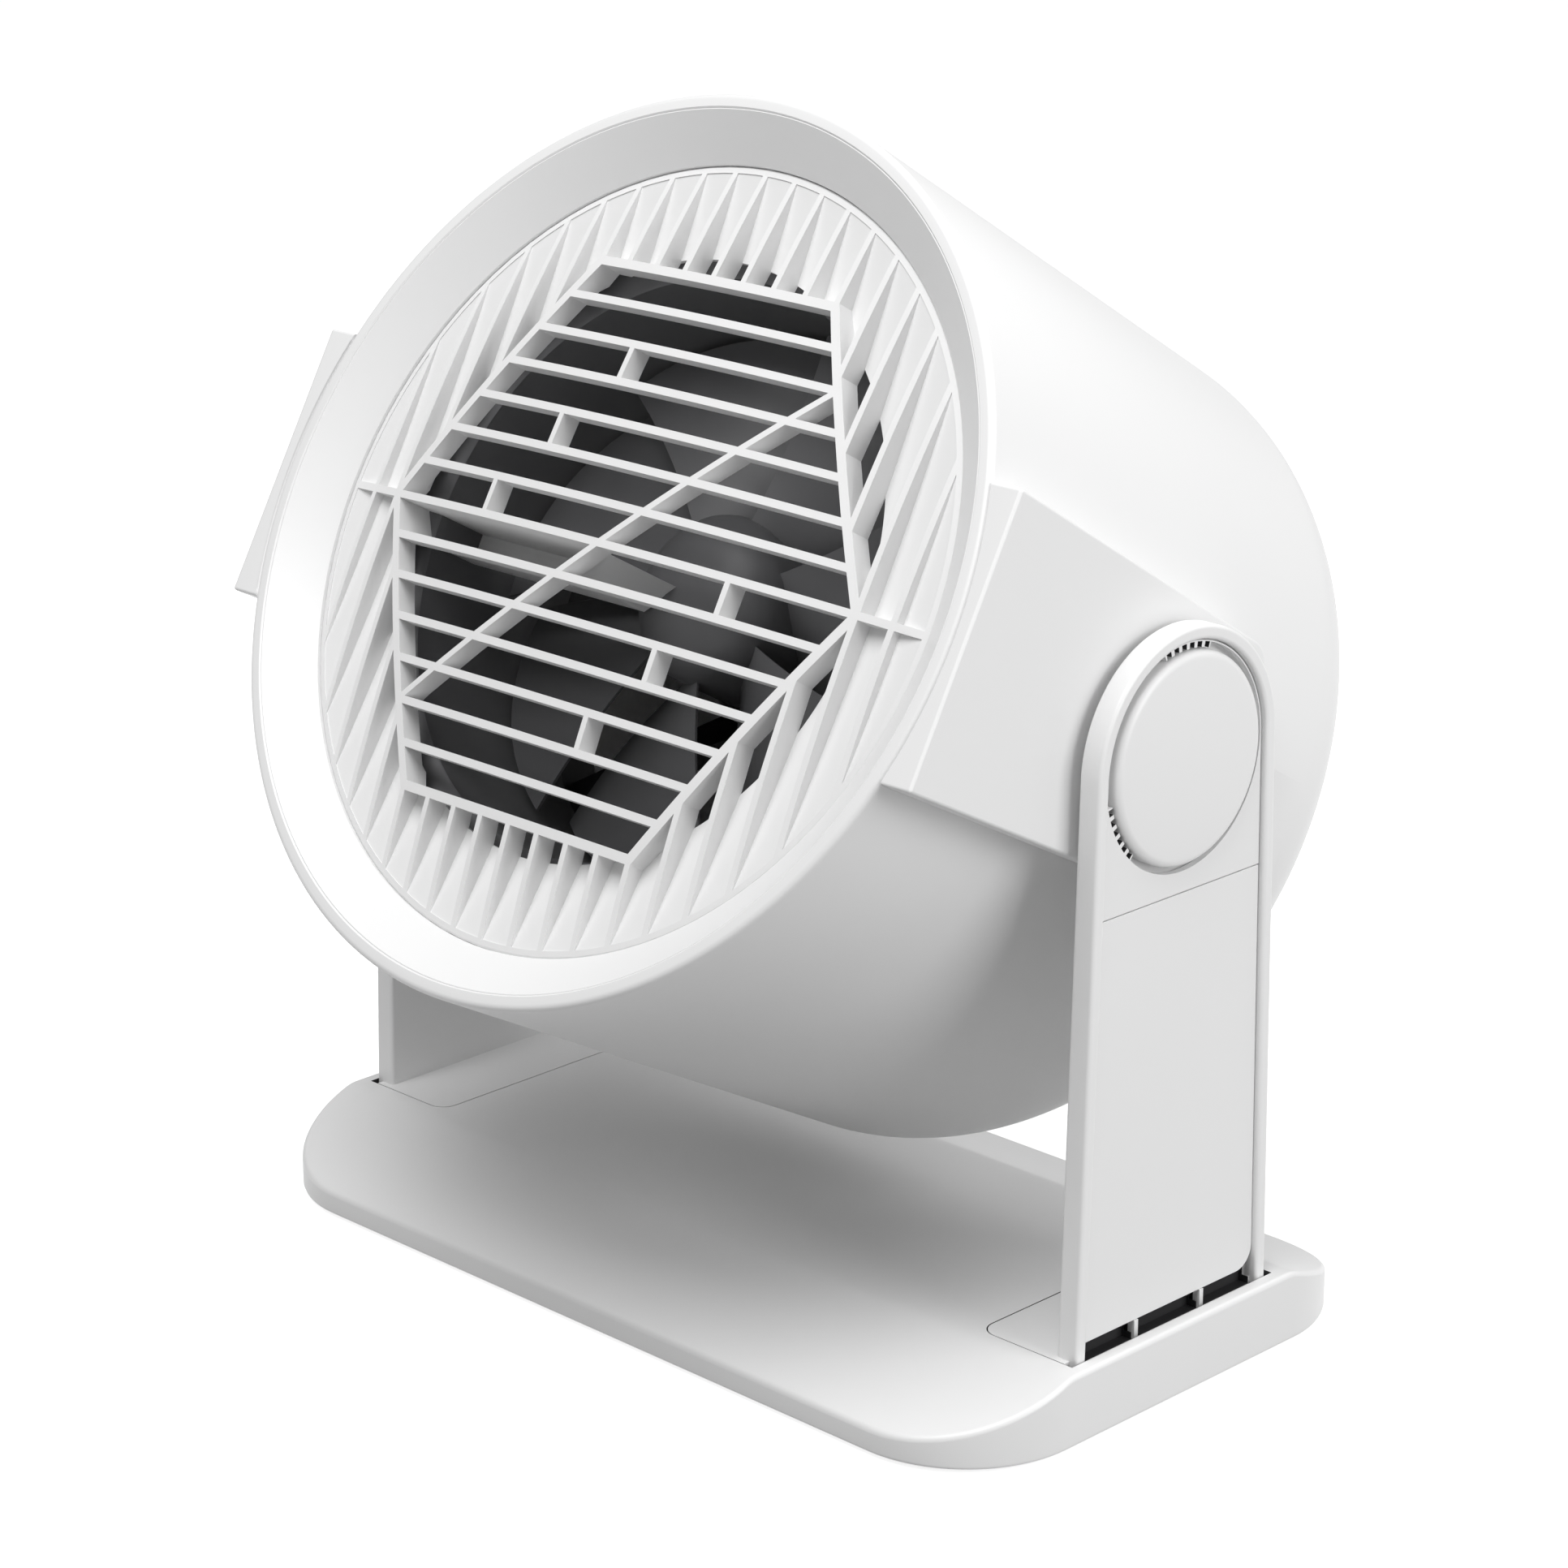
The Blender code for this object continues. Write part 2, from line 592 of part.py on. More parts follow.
build("flow_guide", *spin([
    (93.8, 58.4), (87.0, 58.4), (DUCT_RADIUS, 54.0), (DUCT_RADIUS, 8.0),
    (DUCT_RADIUS + 1.8, 8.0), (DUCT_RADIUS + 1.8, 52.8), (86.4, 56.6), (93.8, 56.6),
]), "fan_grey", HEAD, smooth=True)

# ---- Fan and motor ----

hub = [(0, 41.0), (9, 40.0), (15.5, 37.0), (HUB_RADIUS, 32.0)]
hub += [(HUB_RADIUS, 13.0), (17.0, 13.0), (17.0, 30.0), (0, 30.0)]
impeller = build("impeller", *spin(hub, 42), "fan_grey", HEAD, origin=(0, -25.0, AXIS_RISE), smooth=True)


def blade(start):
    """One broad twisted blade, as a closed sheet from inside the hub wall to the tip."""
    front = []
    back = []
    spans = 3
    chords = 4
    for i in range(spans + 1):
        radius = HUB_RADIUS - 0.8 + (BLADE_TIP - HUB_RADIUS + 0.8) * i / spans
        sweep = 56.0 - 4.0 * i / spans
        lean = 10.0 * i / spans
        drop = 17.0 - 5.5 * i / spans
        for j in range(chords + 1):
            across = j / chords
            turn = math.radians(start + lean + sweep * (across - 0.5))
            s = 23.0 + drop * (across - 0.5) + 2.0 * math.sin(math.pi * across)
            for points, offset in ((front, 0.8), (back, -0.8)):
                points.append((radius * math.cos(turn), -(s + offset), AXIS_RISE + radius * math.sin(turn)))
    n = len(front)
    row = chords + 1
    faces = []
    for i in range(spans):
        for j in range(chords):
            a = i * row + j
            faces.append((a, a + 1, a + row + 1, a + row))
            faces.append((n + a, n + a + row, n + a + row + 1, n + a + 1))
    rim = list(range(row)) + [i * row + chords for i in range(1, spans + 1)]
    rim += [spans * row + j for j in range(chords - 1, -1, -1)] + [i * row for i in range(spans - 1, 0, -1)]
    for k, a in enumerate(rim):
        b = rim[(k + 1) % len(rim)]
        faces.append((b, a, n + a, n + b))
    return face_out(front + back, faces)


blades = joined(*[blade(360.0 * k / BLADES) for k in range(BLADES)])
boolean(impeller, cutter("join_blades", *blades, HEAD), "UNION")
boolean(impeller, cutter("cut_impeller_bore", *spin([(0, 25), (2.3, 25), (2.3, 36), (0, 36)], 16), HEAD))
shaft = build(
    "motor_shaft", *spin([(0, -2.0), (2.0, -2.0), (2.0, 35.5), (0, 35.5)], 16), "steel", HEAD,
    origin=(0, -10.0, AXIS_RISE), smooth=True,
)
build("impeller_clip", *spin([(2.3, 27.0), (5.0, 27.0), (5.0, 29.6), (2.3, 29.6)], 24), "steel", HEAD,
      origin=(0, -28.0, AXIS_RISE), smooth=True)
motor_profile = [(2.4, 8.0), (6.0, 8.0), (6.0, 6.0), (21.0, 6.0), (22.0, 5.0)]
motor_profile += [(22.0, -31.0), (0, -31.0), (0, -3.0), (2.4, -3.0)]
motor = build("motor_body", *spin(motor_profile, 24), "steel", HEAD, smooth=True)

mount_cup = spin([(22.4, -6.0), (24.6, -6.0), (24.6, -33.6), (0, -33.6), (0, -31.4), (22.4, -31.4)], 24)
mount = build("motor_mount", *mount_cup, "inner_dark", HEAD, smooth=True)
ring = spin([
    (DUCT_RADIUS + 2.2, 12.0), (DUCT_RADIUS + 5.0, 12.0),
    (DUCT_RADIUS + 5.0, -8.0), (DUCT_RADIUS + 2.2, -8.0),
], 32)
boolean(mount, cutter("join_mount_ring", *ring, HEAD), "UNION")
arms = []
for k in range(4):
    turn = math.radians(45 + 90 * k)
    out = Vector((math.cos(turn), 0, math.sin(turn)))
    wide = Vector((-math.sin(turn), 0, math.cos(turn))) * 3.0
    verts = []
    for radius, near, far in ((23.8, 12.0, 20.0), (DUCT_RADIUS + 3.4, -2.0, 5.0)):
        for y in (near, far):
            for w in (-1, 1):
                verts.append(tuple(out * radius + wide * w + Vector((0, y, AXIS_RISE))))
    faces = [(0, 1, 3, 2), (4, 6, 7, 5), (0, 4, 5, 1), (2, 3, 7, 6), (0, 2, 6, 4), (1, 5, 7, 3)]
    arms.append(face_out(verts, faces))
boolean(mount, cutter("join_mount_arms", *joined(*arms), HEAD), "UNION")
mount_bores = []
for k in range(3):
    turn = math.radians(90 + 120 * k)
    x = 14.0 * math.cos(turn)
    z = 14.0 * math.sin(turn) + AXIS_RISE
    mount_bores.append(lathe([(0, 30), (1.8, 30), (1.8, 36), (0, 36)], 12, "Y", (x, 0, z)))
    screw_profile = [(0, 31.3), (1.5, 31.3), (1.5, 33.9), (2.8, 33.9), (2.8, 35.6), (0, 35.6)]
    screw = lathe(screw_profile, 16, "Y", (x, 0, z))
    build(f"motor_screw_{k + 1}", *screw, "steel", HEAD, origin=(x, 33.0, z), smooth=True)
boolean(mount, cutter("cut_mount_bores", *joined(*mount_bores), HEAD))

# ---- Rear ----

rear = build(
    "rear_grille",
    *spin([(BUTTON_RADIUS + GAP, REAR + WALL), (REAR_OPENING - GAP, REAR + WALL),
           (REAR_OPENING - GAP, REAR), (BUTTON_RADIUS + GAP, REAR)], 60),
    "grille_white", HEAD,
)
sectors = []
for ring_index in range(4):
    inner = 20.0 + ring_index * 12.0
    outer = inner + 10.0
    for k in range(8):
        middle = 45.0 * k
        trim = math.degrees(1.1 / inner)
        outer_trim = math.degrees(1.1 / outer)
        shape = arc(0, AXIS_RISE, inner, middle - 22.5 + trim, middle + 22.5 - trim, 2)
        shape += arc(0, AXIS_RISE, outer, middle + 22.5 - outer_trim, middle - 22.5 + outer_trim, 2)
        sectors.append(prism(shape, -REAR - 8, -REAR + 8, "Y"))
boolean(rear, cutter("cut_rear_sectors", *joined(*sectors), HEAD))
build("power_button", *spin([
    (0, REAR - 2.2), (5.5, REAR - 2.1), (7.4, REAR - 1.6), (BUTTON_RADIUS, REAR - 0.9),
    (BUTTON_RADIUS, REAR + 4.5), (0, REAR + 4.5),
], 32), "shell_white", HEAD, origin=(0, -REAR, AXIS_RISE), smooth=True)
build("button_switch", *spin([
    (0, REAR + 7.0), (11.0, REAR + 7.0), (11.0, REAR + 14.0), (0, REAR + 14.0),
], 24), "inner_dark", HEAD)
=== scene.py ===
import json
import math

import bmesh
import bpy
from mathutils import Matrix, Vector


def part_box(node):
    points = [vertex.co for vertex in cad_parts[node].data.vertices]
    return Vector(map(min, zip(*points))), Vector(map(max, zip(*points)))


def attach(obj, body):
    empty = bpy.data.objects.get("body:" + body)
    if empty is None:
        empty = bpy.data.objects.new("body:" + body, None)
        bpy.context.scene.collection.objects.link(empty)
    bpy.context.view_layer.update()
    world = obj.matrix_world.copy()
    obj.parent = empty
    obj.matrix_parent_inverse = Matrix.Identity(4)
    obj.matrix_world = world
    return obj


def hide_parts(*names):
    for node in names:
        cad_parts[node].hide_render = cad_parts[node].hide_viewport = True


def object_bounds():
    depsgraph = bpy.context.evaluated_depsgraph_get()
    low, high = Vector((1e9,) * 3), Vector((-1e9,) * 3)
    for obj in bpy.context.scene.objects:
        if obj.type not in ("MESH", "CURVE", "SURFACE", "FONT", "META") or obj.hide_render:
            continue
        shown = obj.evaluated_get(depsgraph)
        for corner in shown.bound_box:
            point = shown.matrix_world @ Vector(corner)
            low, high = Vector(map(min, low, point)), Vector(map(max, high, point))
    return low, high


# Sizes are in millimetres and become metres when the meshes are made.
# Head axes: origin on the tilt pivot, -Y along the airflow, +Z up across the head.

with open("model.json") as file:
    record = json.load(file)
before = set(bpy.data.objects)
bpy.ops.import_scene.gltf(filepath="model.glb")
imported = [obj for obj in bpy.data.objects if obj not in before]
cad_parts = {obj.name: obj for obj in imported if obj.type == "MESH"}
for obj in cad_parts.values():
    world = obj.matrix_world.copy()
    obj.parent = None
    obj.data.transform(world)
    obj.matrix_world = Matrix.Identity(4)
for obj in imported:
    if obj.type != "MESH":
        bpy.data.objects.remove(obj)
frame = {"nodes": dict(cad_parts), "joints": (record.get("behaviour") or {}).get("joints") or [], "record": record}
first_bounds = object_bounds()

MM = 0.001

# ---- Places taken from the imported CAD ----

joints = {joint["name"]: joint for joint in frame["joints"]}
PIVOT = Vector(joints["head_tilt"]["pos_m"])
AIR = Vector(joints["fan_spin"]["axis"]).normalized()
TILT = math.atan2(AIR.z, -AIR.y)
HEAD = Matrix.Translation(PIVOT) @ Matrix.Rotation(-TILT, 4, "X")
WORLD = Matrix.Identity(4)

base_low, base_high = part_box("base_shell")
BASE_HALF_LENGTH = base_high.x / MM
BASE_HALF_DEPTH = base_high.y / MM
BASE_UNDERSIDE = base_low.z / MM
PLATEAU_TOP = base_high.z / MM
BASE_CORNER = 29.0
EDGE_ROUND = 1.1
CREASE_BLEND = 1.5
PLATEAU_HALF_DEPTH = 36.5
FRONT_WALL_TOP = 6.5
CAVITY_TOP = 4.2
HOLLOW_HALF_LENGTH = 109.0
HOLLOW_HALF_DEPTH = 34.0
HOLLOW_TOP = 12.0
INLET_HALF_WIDTH = 5.0

arm_low, arm_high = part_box("arm_right")
ARM_OUTER = arm_high.x / MM
ARM_INNER = ARM_OUTER - 5.6
FOOT_INNER = arm_low.x / MM
FOOT_HALF_DEPTH = arm_high.y / MM
ARM_LOW = arm_low.z / MM
PIVOT_HEIGHT = PIVOT.z / MM
ARM_TOP_RADIUS = arm_high.z / MM - PIVOT_HEIGHT
ARM_WIDENING = 0.025
ARM_WEB = 1.6
ARM_RIM = 3.1
RIB_SPACING = 10.7
RIB_HALF = 0.6
FOOT_CORNER = 4.0
SLOT_TOP = 20.6
FOOT_OUTER = 109.0
COVER_BACK = 108.0
WEB_LEFT = 1.2
cover_low, cover_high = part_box("arm_right_lower_cover")
COVER_OUTER = cover_high.x / MM
COVER_INNER = cover_low.x / MM
LOWER_COVER_BOTTOM = cover_low.z / MM
LOWER_COVER_TOP = cover_high.z / MM
UPPER_COVER_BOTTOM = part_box("arm_right_upper_cover")[0].z / MM
POD_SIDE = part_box("side_pod_right")[1].x / MM
CAP_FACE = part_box("pivot_cap_right")[1].x / MM
CAP_RADIUS = (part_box("pivot_cap_right")[1].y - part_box("pivot_cap_right")[0].y) / 2 / MM

# ---- Sizes of the head ----

AXIS_RISE = 1.8
FRONT = 69.4
REAR = -80.6
RIM_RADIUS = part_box("drum_shell")[1].x / MM
RIM_INNER = 96.65
REAR_RADIUS = 97.0
REAR_FILLET = 20.0
WALL = 2.5
REAR_OPENING = 70.0
CONE_INNER = 87.0
CONE_DEPTH = 8.0
POD_HALF_FRONT = 31.3
POD_HALF_REAR = 28.0
POD_REAR = -24.0
POD_CORNER = 6.0
UNIT = 8.68
GRILLE_RADIUS = 86.95
VANE_END = 85.3
DOME_DROP = 5.6
SLAT = 1.7
VANE = 1.4
HEX_FRAME = 2.1
DUCT_RADIUS = 64.5
FLOOR_INNER = 66.5
FLOOR_DROP = 5.3
FLOOR_THICKNESS = 1.2
BAR_DEPTH = 5.0
COVER_CORNER = 5.0
CAP_HOLE = 24.2
TOOTH_RUNS = (90, 210)
RUN_HALF = 17.5
TOOTH_HEIGHT = 1.25
TOOTH_GAPS = 6
CAP_EDGE = 1.8
CAP_CROWN = 0.75
STUB_BORE = 8.3
GAP = 0.3
HUB_RADIUS = 19.0
BLADE_TIP = 62.0
BLADES = 7
BLADE_MIDDLE = 23.0
BLADE_SWEEP = 56.0
SWEEP_LOSS = 4.0
BLADE_LEAN = 10.0
BLADE_DROP = 17.0
DROP_LOSS = 5.5
BLADE_CAMBER = 2.0
INTAKE_INNER = 20.0
INTAKE_PITCH = 12.0
SLIT_PITCH = 3.45
SLIT_WIDTH = 2.2
SPOKES = 8
SPOKE_HALF = 1.1

# ---- Materials ----


def plastic(name, color, roughness, grain=0.02, bump=0.02, scale=900.0, specular=0.5, mottle=0.012):
    """Moulded plastic: fine spark-eroded grain, slightly uneven sheen and tone."""
    material = bpy.data.materials.new(name)
    material.use_nodes = True
    tree = material.node_tree
    shader = tree.nodes["Principled BSDF"]
    shader.inputs["Specular IOR Level"].default_value = specular
    coords = tree.nodes.new("ShaderNodeTexCoord")
    fine = tree.nodes.new("ShaderNodeTexNoise")
    fine.inputs["Scale"].default_value = scale
    fine.inputs["Detail"].default_value = 3.0
    broad = tree.nodes.new("ShaderNodeTexNoise")
    broad.inputs["Scale"].default_value = 18.0
    broad.inputs["Detail"].default_value = 4.0
    tree.links.new(coords.outputs["Object"], fine.inputs["Vector"])
    tree.links.new(coords.outputs["Object"], broad.inputs["Vector"])
    rough = tree.nodes.new("ShaderNodeMapRange")
    rough.inputs["To Min"].default_value = roughness - grain
    rough.inputs["To Max"].default_value = roughness + grain
    tree.links.new(fine.outputs["Fac"], rough.inputs["Value"])
    tree.links.new(rough.outputs["Result"], shader.inputs["Roughness"])
    tone = tree.nodes.new("ShaderNodeMix")
    tone.data_type = "RGBA"
    tone.inputs["A"].default_value = (*[c * (1 - mottle) for c in color], 1)
    tone.inputs["B"].default_value = (*[min(c * (1 + mottle), 1) for c in color], 1)
    tree.links.new(broad.outputs["Fac"], tone.inputs["Factor"])
    tree.links.new(tone.outputs["Result"], shader.inputs["Base Color"])
    relief = tree.nodes.new("ShaderNodeBump")
    relief.inputs["Strength"].default_value = bump
    relief.inputs["Distance"].default_value = 0.0002
    tree.links.new(fine.outputs["Fac"], relief.inputs["Height"])
    tree.links.new(relief.outputs["Normal"], shader.inputs["Normal"])
    return material


def brushed(name, color, roughness):
    """Machined metal: the plastic grain, coarser, with a metallic base."""
    material = plastic(name, color, roughness, grain=0.06, bump=0.05, scale=500.0)
    material.node_tree.nodes["Principled BSDF"].inputs["Metallic"].default_value = 1.0
    return material


LOOKS = {
    "shell_white": plastic("shell white", (0.86, 0.86, 0.86), 0.38),
    "grille_white": plastic("grille white", (0.84, 0.84, 0.84), 0.42),
    "fan_grey": plastic("fan grey", (0.14, 0.14, 0.145), 0.45, mottle=0.05),
    # inner_dark also paints shade onto the faces cut in slots, seams, tooth notches and foot pockets
    "inner_dark": plastic("inner dark and painted shade", (0.035, 0.035, 0.037), 0.6, mottle=0.05),
    "steel": brushed("steel", (0.56, 0.56, 0.57), 0.34),
    "rubber_grey": plastic("rubber grey", (0.07, 0.07, 0.07), 0.85, bump=0.12, scale=700.0, mottle=0.05),
    "board_green": plastic("board green", (0.03, 0.16, 0.08), 0.4, mottle=0.08),
}

for sub in frame["record"]["subparts"]:
    shown = frame["nodes"][sub["node"]]
    shown.data.materials.clear()
    shown.data.materials.append(LOOKS[sub["material_slot"]])

# ---- Mesh helpers; points are in millimetres ----


def face_out(verts, faces):
    """Turns every face over if the solid's volume comes out negative."""
    volume = 0.0
    for face in faces:
        for k in range(1, len(face) - 1):
            a, b, c = (Vector(verts[face[i]]) for i in (0, k, k + 1))
            volume += a.dot(b.cross(c))
    if volume < 0:
        faces = [tuple(reversed(face)) for face in faces]
    return verts, faces


def build(name, solid, slot, place=WORLD, angle=35):
    verts, faces = solid
    mesh = bpy.data.meshes.new(name)
    mesh.from_pydata([place @ (Vector(v) * MM) for v in verts], [], faces)
    mesh.materials.append(LOOKS[slot])
    obj = bpy.data.objects.new(name, mesh)
    bpy.context.scene.collection.objects.link(obj)
    for polygon in mesh.polygons:
        polygon.use_smooth = True
    mesh.set_sharp_from_angle(angle=math.radians(angle))
    return obj


def boolean(obj, solid, operation="DIFFERENCE", place=WORLD, slot="shell_white"):
    """Cuts or joins once and keeps the result; the faces that a cut makes take the tool's material."""
    other = build("tool", solid, slot, place)
    modifier = obj.modifiers.new("cut", "BOOLEAN")
    modifier.operation = operation
    modifier.solver = "EXACT"
    modifier.object = other
    if slot != "shell_white":
        modifier.material_mode = "TRANSFER"
    settle(obj)
    bpy.data.objects.remove(other)


def settle(obj):
    """Replaces the mesh by what its modifiers make of it."""
    bpy.context.view_layer.update()
    graph = bpy.context.evaluated_depsgraph_get()
    mesh = bpy.data.meshes.new_from_object(obj.evaluated_get(graph))
    obj.modifiers.clear()
    old = obj.data
    obj.data = mesh
    bpy.data.meshes.remove(old)


def soften(obj, width, segments=3, angle=40):
    """Rounds the object's edges and keeps flat faces looking flat."""
    bevel = obj.modifiers.new("soft edges", "BEVEL")
    bevel.width = width * MM
    bevel.segments = segments
    bevel.limit_method = "ANGLE"
    bevel.angle_limit = math.radians(angle)
    bevel.harden_normals = True
    settle(obj)


def flatten(obj, angle=30):
    """Keeps large flat faces looking flat next to small rounded ones."""
    obj.data.set_sharp_from_angle(angle=math.radians(angle))
    weighted = obj.modifiers.new("flat faces", "WEIGHTED_NORMAL")
    weighted.keep_sharp = True
    settle(obj)


def put(obj, body, slot, *nodes):
    """Hands the finished piece to its body in place of its CAD nodes."""
    obj.data.materials[0] = LOOKS[slot]
    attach(obj, body)
    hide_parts(*nodes)
    return obj


def lathe(profile, segments, axis="Y", centre=(0, 0, 0)):
    """Solid of revolution from (radius, along) points."""
    rings = []
    verts = []
    for radius, along in profile:
        ring = []
        for k in range(1 if radius < 1e-6 else segments):
            turn = 2 * math.pi * k / segments
            a = radius * math.cos(turn)
            b = radius * math.sin(turn)
            point = (a, along, b) if axis == "Y" else (along, a, b) if axis == "X" else (a, b, along)
            ring.append(len(verts))
            verts.append(tuple(p + c for p, c in zip(point, centre)))
        rings.append(ring)
    faces = []
    for i, ring in enumerate(rings):
        other = rings[(i + 1) % len(rings)]
        if len(ring) == 1 and len(other) == 1:
            continue
        for k in range(segments):
            m = (k + 1) % segments
            if len(ring) == 1:
                faces.append((ring[0], other[m], other[k]))
            elif len(other) == 1:
                faces.append((ring[k], ring[m], other[0]))
            else:
                faces.append((ring[k], ring[m], other[m], other[k]))
    return face_out(verts, faces)


def spin(profile, segments=192):
    """Profile points are (radius, distance in front of the pivot), about the head's axis."""
    return lathe([(r, -s) for r, s in profile], segments, "Y", (0, 0, AXIS_RISE))


def prism(outline, low, high, axis="Z"):
    """Straight extrusion of a closed outline along an axis."""
    verts = []
    for level in (low, high):
        for a, b in outline:
            verts.append((a, b, level) if axis == "Z" else (a, level, b) if axis == "Y" else (level, a, b))
    n = len(outline)
    faces = [tuple(range(n)), tuple(reversed(range(n, 2 * n)))]
    for k in range(n):
        m = (k + 1) % n
        faces.append((m, k, k + n, m + n))
    return face_out(verts, faces)


def box(x0, x1, y0, y1, z0, z1):
    return prism([(x0, y0), (x1, y0), (x1, y1), (x0, y1)], z0, z1)


def joined(*solids):
    """Several solids as one mesh, for a single cut or join."""
    verts = []
    faces = []
    for more_verts, more_faces in solids:
        start = len(verts)
        verts += more_verts
        faces += [tuple(i + start for i in face) for face in more_faces]
    return verts, faces


def mirrored(solid):
    verts, faces = solid
    return face_out([(-x, y, z) for x, y, z in verts], faces)


def arc(cx, cy, radius, start, end, steps):
    """Points along an arc, with angles in degrees."""
    points = []
    for k in range(steps + 1):
        turn = math.radians(start + (end - start) * k / steps)
        points.append((cx + radius * math.cos(turn), cy + radius * math.sin(turn)))
    return points


# ---- Base ----

SLOPE = (PLATEAU_TOP - FRONT_WALL_TOP) / (BASE_HALF_DEPTH - PLATEAU_HALF_DEPTH)


def top_height(y):
    """Plateau, a short rounded crease, then an even slope to the low front or rear edge."""
    beyond = abs(y) - PLATEAU_HALF_DEPTH
    blend = CREASE_BLEND
    if beyond <= -blend:
        return PLATEAU_TOP
    if beyond >= blend:
        return PLATEAU_TOP - SLOPE * beyond
    t = (beyond + blend) / (2 * blend)
    return PLATEAU_TOP - SLOPE * blend * t * t


def rounded_plan(half_length, half_depth, corner):
    points = []
    for sx, sy, start in ((1, 1, 0), (-1, 1, 90), (-1, -1, 180), (1, -1, 270)):
        points += arc(sx * (half_length - corner), sy * (half_depth - corner), corner, start, start + 90, 16)
    return points


def plan_loop(inset):
    """Rounded-rectangle plan with points close enough along the sides to follow the sloping top."""
    radius = BASE_CORNER - inset
    cx = BASE_HALF_LENGTH - BASE_CORNER
    cy = BASE_HALF_DEPTH - BASE_CORNER
    points = []
    corners = ((cx, cy, 0), (-cx, cy, 90), (-cx, -cy, 180), (cx, -cy, 270))
    for (x, y, start), (next_x, next_y, _) in zip(corners, corners[1:] + corners[:1]):
        points += arc(x, y, radius, start, start + 90, 24)
        (x1, y1) = arc(next_x, next_y, radius, start + 90, start + 90, 1)[0]
        x0, y0 = points[-1]
        count = 60
        for k in range(1, count):
            points.append((x0 + (x1 - x0) * k / count, y0 + (y1 - y0) * k / count))
    return points


def base_solid():
    """Rings from the underside up the wall and over a small rounded edge; the top is filled in rows."""
    levels = [(1.0, lambda y: BASE_UNDERSIDE), (0.3, lambda y: BASE_UNDERSIDE + 0.3)]
    levels += [(0.0, lambda y: BASE_UNDERSIDE + 1.0), (0.0, lambda y: top_height(y) - EDGE_ROUND)]
    for step in range(1, 7):
        turn = math.radians(90 * step / 6)
        inset = EDGE_ROUND * (1 - math.cos(turn))
        drop = EDGE_ROUND * (1 - math.sin(turn))
        levels.append((inset, lambda y, d=drop: top_height(y) - d))
    verts = []
    faces = []
    for inset, height in levels:
        verts += [(x, y, height(y)) for x, y in plan_loop(inset)]
    n = len(verts) // len(levels)
    for level in range(len(levels) - 1):
        low = level * n
        for k in range(n):
            m = (k + 1) % n
            faces.append((low + k, low + m, low + n + m, low + n + k))
    faces.append(tuple(range(n - 1, -1, -1)))
    rows = {}
    for k in range(len(verts) - n, len(verts)):
        rows.setdefault(round(verts[k][1], 3), []).append(k)
    rows = [sorted(rows[y], key=lambda k: verts[k][0]) for y in sorted(rows)]
    for near, far in zip(rows, rows[1:]):
        faces.append(tuple(near + far[::-1]))
    return verts, faces


def foot_outline(outer, margin):
    """Plan of an arm's foot, rounded at its inner end and widened by the margin."""
    radius = FOOT_CORNER + margin
    half = FOOT_HALF_DEPTH + margin
    inner = FOOT_INNER - margin + radius
    outline = [(outer, -half), (outer, half)]
    outline += arc(inner, half - radius, radius, 90, 180, 12)
    outline += arc(inner, radius - half, radius, 180, 270, 12)
    return outline


base = build("base_skin", base_solid(), "shell_white", angle=50)
mesh_edit = bmesh.new()
mesh_edit.from_mesh(base.data)
bmesh.ops.recalc_face_normals(mesh_edit, faces=mesh_edit.faces)
mesh_edit.to_mesh(base.data)
mesh_edit.free()
boolean(base, prism(rounded_plan(112.1, 64.4, 26.5), -3.0, CAVITY_TOP))
boolean(base, box(
    -HOLLOW_HALF_LENGTH, HOLLOW_HALF_LENGTH, -HOLLOW_HALF_DEPTH, HOLLOW_HALF_DEPTH, 3.0, HOLLOW_TOP))
boolean(base, box(-INLET_HALF_WIDTH, INLET_HALF_WIDTH, 50.0, 80.0, 1.5, 4.0))

pocket = prism(foot_outline(ARM_OUTER + GAP, GAP), ARM_LOW - GAP, PLATEAU_TOP + 5)
# painted shade: the faces of the pockets round the arm feet take the dark material, standing for the shade in the
# gap
boolean(base, joined(pocket, mirrored(pocket)), slot="inner_dark")
flatten(base, 35)
put(base, "stand", "shell_white", "base_shell")

# ---- Arms ----


def arm_outline(inset, low, steps=72):
    radius = ARM_TOP_RADIUS - inset
    low_width = radius + ARM_WIDENING * (PIVOT_HEIGHT - low)
    return [(low_width, low)] + arc(0, PIVOT_HEIGHT, radius, 0, 180, steps) + [(-low_width, low)]


def lower_cover_outline():
    """Straight flanks up to the seam, with the low rear corner rounded."""
    radius = ARM_TOP_RADIUS - ARM_RIM - GAP
    low_width = radius + ARM_WIDENING * (PIVOT_HEIGHT - LOWER_COVER_BOTTOM)
    seam_width = radius + ARM_WIDENING * (PIVOT_HEIGHT - LOWER_COVER_TOP)
    corner = arc(low_width - COVER_CORNER, LOWER_COVER_BOTTOM + COVER_CORNER, COVER_CORNER, -90, 0, 12)
    seam = [(seam_width, LOWER_COVER_TOP), (-seam_width, LOWER_COVER_TOP)]
    return corner + seam + [(-low_width, LOWER_COVER_BOTTOM)]


def cap_hole(x0, x1):
    """Round hole that steps inward at the runs of teeth."""
    outline = []
    count = 720
    for k in range(count):
        degrees = 360.0 * k / count
        near = min(abs((degrees - spot + 180) % 360 - 180) for spot in TOOTH_RUNS)
        radius = CAP_HOLE - TOOTH_HEIGHT if near < RUN_HALF else CAP_HOLE
        turn = math.radians(degrees)
        outline.append((radius * math.cos(turn), PIVOT_HEIGHT + radius * math.sin(turn)))
    return prism(outline, x0, x1, "X")


